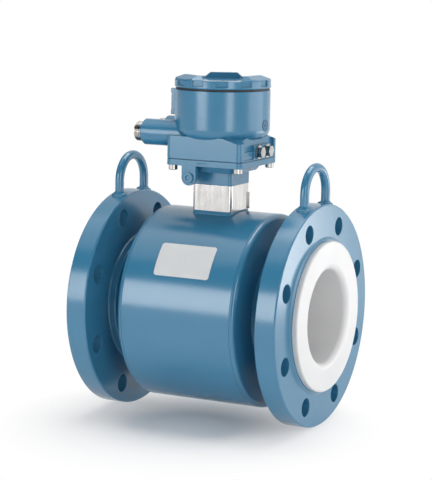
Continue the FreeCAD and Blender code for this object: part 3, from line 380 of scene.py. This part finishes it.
liner_white, tree, shader = open_material("liner_ptfe")
tone = between(tree, cloud(tree, 14), 0.0, 1.0)
tree.links.new(blend_colors(tree, tone, LINER_LIGHT, LINER_DARK), shader.inputs["Base Color"])
tree.links.new(between(tree, cloud(tree, 60, 4.0), 0.34, 0.46), shader.inputs["Roughness"])
shader.inputs["Subsurface Weight"].default_value = GLOW_SHARE
shader.inputs["Subsurface Scale"].default_value = GLOW_DEPTH
spot = tree.nodes.new("ShaderNodeTexCoord")
flat = tree.nodes.new("ShaderNodeVectorMath")
flat.operation = "MULTIPLY"
flat.inputs[1].default_value = (0, 1, 1)
length = tree.nodes.new("ShaderNodeVectorMath")
length.operation = "LENGTH"
tree.links.new(spot.outputs["Object"], flat.inputs[0])
tree.links.new(flat.outputs[0], length.inputs[0])
rings = tree.nodes.new("ShaderNodeMath")
rings.operation = "PINGPONG"
rings.inputs[1].default_value = RING_PITCH
tree.links.new(length.outputs["Value"], rings.inputs[0])
relief(tree, shader, rings.outputs[0], RING_RELIEF, LINER_EDGE)
print("liner", liner_white.name, "rings every", RING_PITCH)

# %% [markdown]
# Bright metal takes its look from what it reflects, so its base colour is a pale grey and
# the interest is in the roughness. Turned screws and plugs have short scratches round them.
# The plate round the neck is rolled sheet with a long upright grain. Inside, the coils are
# enamelled copper and the cores dull iron. All come from one helper, with the cloud stretched
# along the grain. An anisotropic shader could do the scratches, but it needs tangents.

# %% Bright metals


def metal(name, tones, rough, grain, depth, edge=0.0, stretch=(1, 1, 1)):
    """A metal with a mottled roughness and a directional grain."""
    material, shader = finish(name, tones, rough, grain, depth, edge, stretch)
    shader.inputs["Metallic"].default_value = 1.0
    return material


bright_steel = metal("bright_steel", ((0.62, 0.60, 0.57), (0.46, 0.45, 0.43)), (0.10, 0.24),
                     1500, 0.010, 0.25, (0.15, 1, 1))
plate_steel = metal("plate_steel", ((0.66, 0.65, 0.64), (0.58, 0.57, 0.56)), (0.08, 0.20),
                    700, 0.012, 0.3, (1, 1, 0.06))
copper = metal("enamelled_copper", ((0.72, 0.30, 0.12), (0.60, 0.22, 0.08)), (0.25, 0.4),
               900, 0.03, 0.3, (1, 1, 0.2))
core_steel = metal("core_steel", ((0.33, 0.34, 0.36), (0.24, 0.25, 0.27)), (0.4, 0.6), 500,
                   0.02, 0.3)
print("metals", bright_steel.name, plate_steel.name, copper.name, core_steel.name)

# %% [markdown]
# The label on the drum is a matt foil, barely metallic. The cover's seal is black rubber, but
# the gasket under the box had its edge caught by the spray, so it is a dull dark blue. The
# plastics and the white thread tape differ only in tone and grain, so each is one call.

# %% Label foil, rubber, plastics and tape
FOIL_METAL_SHARE = 0.15

label_foil, shader = finish("label_foil", ((0.66, 0.68, 0.69), (0.62, 0.64, 0.65)),
                            (0.36, 0.44), 600, 0.006, 0.15, (0.1, 1, 1))
shader.inputs["Metallic"].default_value = FOIL_METAL_SHARE
rubber = finish("seal_rubber", ((0.012, 0.013, 0.015), (0.022, 0.023, 0.026)),
                (0.45, 0.65), 900, 0.02)[0]
gasket = finish("gasket_rubber", ((0.030, 0.095, 0.150), (0.022, 0.070, 0.115)),
                (0.5, 0.7), 900, 0.02)[0]
moulding = finish("terminal_moulding", ((0.05, 0.052, 0.055), (0.035, 0.036, 0.04)),
                  (0.4, 0.5), 700, 0.015, 0.3)[0]
jacket = finish("lead_jacket", ((0.55, 0.56, 0.58), (0.48, 0.49, 0.5)), (0.35, 0.5),
                500, 0.01)[0]
insulator = finish("electrode_insulator", ((0.82, 0.80, 0.74), (0.76, 0.74, 0.68)),
                   (0.4, 0.5), 500, 0.01, 0.2)[0]
thread_tape = finish("thread_tape", ((0.86, 0.86, 0.85), (0.8, 0.8, 0.79)),
                     (0.5, 0.7), 800, 0.06, 0.0, (0.3, 1, 1))[0]
for material in (label_foil, rubber, gasket, moulding, jacket, insulator, thread_tape):
    print("finish", material.name)

# %% [markdown]
# Each carried-over node takes its finish by the record's material slot. The pipe between
# the drum and the flanges is sprayed with the rest, so it wears enamel whatever steel lies
# under it, and the screw in the hanging lug was sprayed over with its casting. Only the
# materials change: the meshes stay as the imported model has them.

# %% Put the finishes on the nodes
FINISH_OF = {
    "blue_paint": enamel, "cast_paint": cast_enamel, "tube_steel": enamel,
    "liner_white": liner_white, "stainless": bright_steel, "terminal_metal": bright_steel,
    "plate_metal": plate_steel, "label_film": label_foil, "seal_rubber": rubber,
    "gasket_rubber": gasket, "coil_copper": copper, "core_iron": core_steel,
    "insulator": insulator, "lead_jacket": jacket, "terminal_plastic": moulding,
    "tape_white": thread_tape,
}
CAST_NODES = ("pedestal", "lug_screw")

pieces = frame["record"]["subparts"]
for entry in pieces:
    chosen = FINISH_OF[entry["material_slot"]]
    if entry["node"] in CAST_NODES:
        chosen = cast_enamel
    for part in nodes[entry["node"]].material_slots:
        part.material = chosen
print("finished nodes", len(pieces))

# %% [markdown]
# New pieces are built from rings: a list of closed loops with the same number of points,
# joined by quads. A lathe form, a thread and a weld bead are all rings, so one helper makes
# all three. A curve with a bevel would be shorter for the beads, but it can't carry the
# ripples that a welder leaves.

# %% Helper for ringed meshes


def ringed(name, rings, material, body, closed=False, caps=True):
    """A mesh through these rings that rides on a body."""
    build = bmesh.new()
    loops = [[build.verts.new(point) for point in ring] for ring in rings]
    pairs = list(zip(loops, loops[1:]))
    if closed:
        pairs.append((loops[-1], loops[0]))
    for near, far in pairs:
        for i in range(len(near)):
            j = (i + 1) % len(near)
            build.faces.new((near[i], near[j], far[j], far[i]))
    if caps and not closed:
        build.faces.new(loops[0])
        build.faces.new(loops[-1])
    bmesh.ops.recalc_face_normals(build, faces=build.faces)
    for face in build.faces:
        face.smooth = True
    mesh = bpy.data.meshes.new(name)
    build.to_mesh(mesh)
    build.free()
    mesh.materials.append(material)
    piece = bpy.data.objects.new(name, mesh)
    bpy.context.scene.collection.objects.link(piece)
    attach(piece, body)
    return piece


print("ring helper ready")

# %% [markdown]
# The two conduit entries are closed by threaded plugs, and about seven millimetres of each
# stand out of the hub. A thread is a helix, so the radius of each point depends on how far
# along the plug and how far round it lies. The groove is a plain V with flats at its crest,
# cut into the plug's own outside size, and the hexagon socket is the last few rings. A screw
# modifier can wind a profile too, but here the chamfer and socket join the same mesh.

# %% Threaded conduit plugs
THREAD_PITCH = 1.814 * MM
THREAD_DEPTH = 0.95 * MM
CREST_SHARE = 0.24
TURN_STEPS = 96
AXIAL_STEP = 0.15 * MM
END_CHAMFER = 0.9 * MM
SOCKET_RADIUS = 5.5 * MM
SOCKET_DEPTH = 8.0 * MM
CORE_RADIUS = 8.9 * MM
TAPE_RUN = 6.0 * MM
SOCKET_MOUTH = 0.4 * MM
MOUTH_SHARE = 1.08
FLOOR_SHARE = 0.3


def groove(phase):
    """Depth of the V groove, from 0 on the crest to 1 at its bottom."""
    from_crest = abs((phase % 1.0) - 0.5) * 2
    return min(max((1 - from_crest - CREST_SHARE / 2) / (1 - CREST_SHARE), 0.0), 1.0)


def hexagon_reach(angle):
    """Distance from the centre to the side of a hexagon with a unit corner radius."""
    return math.cos(math.pi / 6) / math.cos((angle % (math.pi / 3)) - math.pi / 6)


def plug_rings(low, high):
    """Rings from the inner end of the plug to the floor of its socket."""
    radius = (high.z - low.z) / 2
    centre_y = (low.y + high.y) / 2
    centre_z = (low.z + high.z) / 2
    angles = [2 * math.pi * i / TURN_STEPS for i in range(TURN_STEPS)]

    def ring(x, reach_at):
        return [(x, centre_y + reach_at(a) * math.cos(a), centre_z - reach_at(a) * math.sin(a))
                for a in angles]

    rings = [ring(high.x, lambda a: CORE_RADIUS), ring(high.x - TAPE_RUN, lambda a: CORE_RADIUS)]
    x = high.x - TAPE_RUN
    while x > low.x + AXIAL_STEP:
        limit = min(radius, radius - END_CHAMFER + (x - low.x))

        def thread(a, x=x, limit=limit):
            phase = -x / THREAD_PITCH - a / (2 * math.pi)
            return min(limit, radius - THREAD_DEPTH * groove(phase))

        rings.append(ring(x, thread))
        x -= AXIAL_STEP
    rings.append(ring(low.x, lambda a: radius - END_CHAMFER))
    for x, share in ((low.x, MOUTH_SHARE), (low.x + SOCKET_MOUTH, 1.0),
                     (low.x + SOCKET_DEPTH, 1.0), (low.x + SOCKET_DEPTH, FLOOR_SHARE)):
        rings.append(ring(x, lambda a, share=share: SOCKET_RADIUS * share * hexagon_reach(a)))
    return rings


for side in ("front", "rear"):
    cad_name = "conduit_plug_" + side
    plug = ringed("threaded_plug_" + side, plug_rings(*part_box(cad_name)), bright_steel,
                  side + "_plug")
    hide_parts(cad_name)
    print(plug.name, "faces", len(plug.data.polygons))

# %% [markdown]
# Slip-on flanges and end plates are joined to the pipe with fillet welds, and each lifting
# eye with a bead round both its legs. A bead is a row of frozen puddles: seen close, it is a
# tube whose radius swells and drops well over a hundred times on its way round the pipe. The
# path comes first, then a ring of points round each step of it. All of it was sprayed with
# the rest. A bump in the enamel could draw the ripples, but not the bead's rounded outline.

# %% Weld beads
BEAD_SIDES = 10
RIPPLE_SHARE = 0.10
RIPPLE_PITCH = 2.2 * MM
STEPS_PER_RIPPLE = 4


def bead_rings(path, radius, ripples):
    """Rings round a closed path whose size ripples like stacked puddles."""
    rings = []
    count = len(path)
    centre = sum(path, Vector()) / count
    for i, point in enumerate(path):
        along = (path[(i + 1) % count] - path[i - 1]).normalized()
        outward = point - centre
        outward = (outward - along * outward.dot(along)).normalized()
        upward = along.cross(outward)
        phase = (i * ripples / count) % 1.0
        size = radius * (1 - RIPPLE_SHARE + RIPPLE_SHARE * (1 - phase) ** 0.5)
        rings.append([point + (outward * math.cos(a) + upward * math.sin(a)) * size
                      for a in (2 * math.pi * k / BEAD_SIDES for k in range(BEAD_SIDES))])
    return rings


def pipe_bead(name, x, around, radius):
    """A bead round the pipe at one place along it."""
    ripples = int(2 * math.pi * around / RIPPLE_PITCH)
    steps = ripples * STEPS_PER_RIPPLE
    path = [Vector((x, around * math.cos(2 * math.pi * i / steps),
                    around * math.sin(2 * math.pi * i / steps))) for i in range(steps)]
    ringed(name, bead_rings(path, radius, ripples), enamel, "meter", closed=True)


END_PLATE_DEPTH = 5.25 * MM
DRUM_WELD_ALONG = 1.2 * MM
DRUM_WELD_OUT = 1.2 * MM
DRUM_WELD_RADIUS = 3.0 * MM
HUB_WELD_ALONG = 3.6 * MM
HUB_WELD_OUT = 1.9 * MM
HUB_WELD_RADIUS = 3.4 * MM
PIPE_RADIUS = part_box("flow_tube")[1].z
DRUM_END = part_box("coil_housing")[1].x + END_PLATE_DEPTH
HUB_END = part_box("outlet_flange")[0].x
for end, sign in (("inlet", -1), ("outlet", 1)):
    pipe_bead(end + "_drum_weld", sign * (DRUM_END + DRUM_WELD_ALONG),
              PIPE_RADIUS + DRUM_WELD_OUT, DRUM_WELD_RADIUS)
    pipe_bead(end + "_hub_weld", sign * (HUB_END + HUB_WELD_ALONG),
              PIPE_RADIUS + HUB_WELD_OUT, HUB_WELD_RADIUS)
print("drum end", round(DRUM_END, 4), "weld start at the hub", round(HUB_END, 4))

# %% [markdown]
# A lifting eye is a bent bar whose legs stand on the round rim of the flange. The bead at the
# foot of a leg follows both: a circle seen from above, draped over the rim. Each point's
# height comes from the rim's own circle. Shrinking a flat ring onto the flange would do it
# too, but a square root is exact and needs no modifier.

# %% Weld beads of the lifting eyes
LEG_SPREAD = 26.0 * MM
LEG_BEAD_REACH = 5.9 * MM
LEG_BEAD_RADIUS = 2.3 * MM
LEG_RIPPLES = 16
LEG_STEPS = 96
FLANGE_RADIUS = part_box("outlet_flange")[1].z


def leg_bead(name, x, y):
    """A bead where one leg of an eye meets the round rim of its flange."""
    path = []
    for i in range(LEG_STEPS):
        angle = 2 * math.pi * i / LEG_STEPS
        across = y + LEG_BEAD_REACH * math.sin(angle)
        rise = math.sqrt(FLANGE_RADIUS ** 2 - across ** 2)
        path.append(Vector((x + LEG_BEAD_REACH * math.cos(angle), across, rise)))
    ringed(name, bead_rings(path, LEG_BEAD_RADIUS, LEG_RIPPLES), enamel, "meter",
           closed=True)


for end in ("inlet", "outlet"):
    low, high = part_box(end + "_lifting_eye")
    middle = (low.x + high.x) / 2
    for side, y in (("front", -LEG_SPREAD), ("rear", LEG_SPREAD)):
        leg_bead(end + "_eye_weld_" + side, middle, y)
print("flange radius", round(FLANGE_RADIUS, 4))

# %% [markdown]
# The foundry casts the earth sign into the bowl above the ground screws: a ring round an
# upright line and three bars. It is a sign that any meter may carry. It could be cut in with
# a boolean, but it stands only 0.3 mm proud, so thin strips bent round the bowl look the same
# and leave the casting alone. Their darker blue is painted shade, for the shade along such fine
# lines.

# %% Earth sign
SIGN_HEIGHT = 191.0 * MM
SIGN_RADIUS = 5.6 * MM
LINE_WIDTH = 0.8 * MM
SIGN_STAND = 0.3 * MM
STEM_TOP = 4.2 * MM
STEM_FOOT = 0.2 * MM
BARS = ((0.2, 3.5), (-1.5, 2.3), (-3.2, 1.1))
bowl_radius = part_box("junction_box")[1].x


def bent(across, up, proud):
    """A place on the bowl, this far across and up from the middle of the sign."""
    angle = across / bowl_radius
    reach = bowl_radius + proud
    return (reach * math.cos(angle), reach * math.sin(angle), SIGN_HEIGHT + up)


def strip_rings(start, end, steps=6):
    """Rings of a thin flat strip between two places on the sign."""
    start, end = Vector(start), Vector(end)
    along = (end - start).normalized()
    half = Vector((-along.y, along.x)) * LINE_WIDTH / 2
    rings = []
    for i in range(steps + 1):
        spot = start.lerp(end, i / steps)
        left, right = spot + half, spot - half
        rings.append([bent(*left, -SIGN_STAND), bent(*right, -SIGN_STAND),
                      bent(*right, SIGN_STAND), bent(*left, SIGN_STAND)])
    return rings


def circle_rings(steps=48):
    """Rings of the circle round the sign."""
    rings = []
    for i in range(steps):
        angle = 2 * math.pi * i / steps
        edges = [Vector((math.cos(angle), math.sin(angle))) * (SIGN_RADIUS + shift)
                 for shift in (-LINE_WIDTH / 2, LINE_WIDTH / 2)]
        rings.append([bent(*edges[0], -SIGN_STAND), bent(*edges[1], -SIGN_STAND),
                      bent(*edges[1], SIGN_STAND), bent(*edges[0], SIGN_STAND)])
    return rings


# the strips carry the darker blue of painted shade
ringed("earth_sign_ring", circle_rings(), sign_painted_shade, "meter", closed=True)
ringed("earth_sign_stem", strip_rings((0, STEM_TOP), (0, STEM_FOOT)), sign_painted_shade, "meter")
for number, (up, half) in enumerate(BARS, start=1):
    ringed("earth_sign_bar_%d" % number, strip_rings((-half * MM, up * MM), (half * MM, up * MM)),
           sign_painted_shade, "meter")
print("bowl radius", round(bowl_radius, 4))
